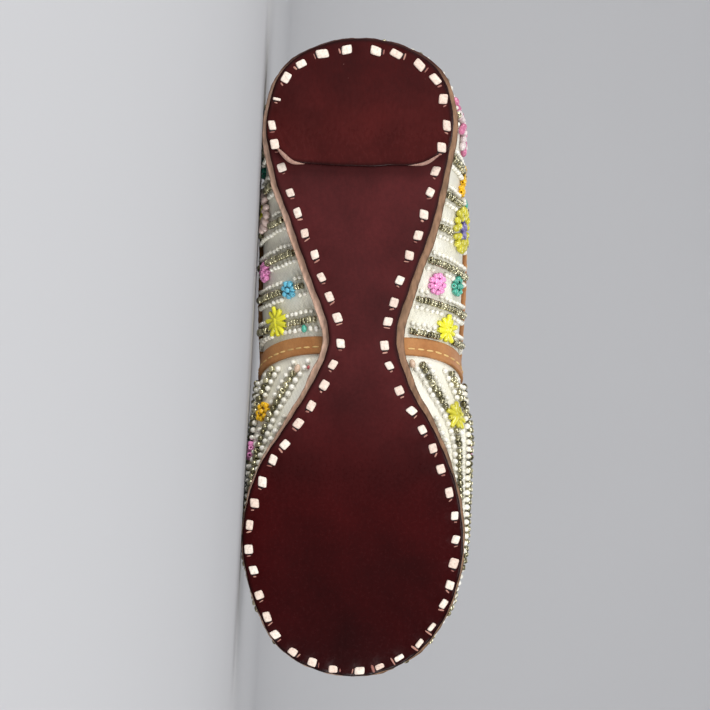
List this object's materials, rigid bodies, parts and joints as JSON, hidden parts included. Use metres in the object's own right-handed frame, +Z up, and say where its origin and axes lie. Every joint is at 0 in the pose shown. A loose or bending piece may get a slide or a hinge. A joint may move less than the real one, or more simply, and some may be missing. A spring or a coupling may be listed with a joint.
{
  "type": "mojari shoe",
  "caption": "Left mojari slipper lying on its outer side: waisted leather sole with low heel lift, welt, beaded cloth upper, side straps and bound collar.",
  "frame": {"origin": "middle of the box around the shoe, on the floor that it lies on", "axes": "+X from heel to toe, -Y the way the sole looks, +Y the way the collar opens, +Z up, with the shoe's outer side down"},
  "size_m": [0.2518, 0.0652, 0.0892],
  "materials": {
    "sole_leather": "satin",
    "lift_leather": "satin",
    "welt_leather": "matte",
    "insole_leather": "satin",
    "cream_cloth": "matte",
    "tan_leather": "satin",
    "lining_leather": "matte",
    "rawhide_thong": "matte",
    "thread": "matte",
    "pearl_bead": "gloss",
    "metal_bead": "gloss",
    "coloured_bead": "gloss"
  },
  "bodies": {
    "root": {"outsole": "sole_leather", "heel_lift": "lift_leather", "welt": "welt_leather", "insole": "insole_leather", "upper": "cream_cloth", "side_strap_outer": "tan_leather", "side_strap_inner": "tan_leather", "collar_binding": "tan_leather"}
  },
  "joints": []
}
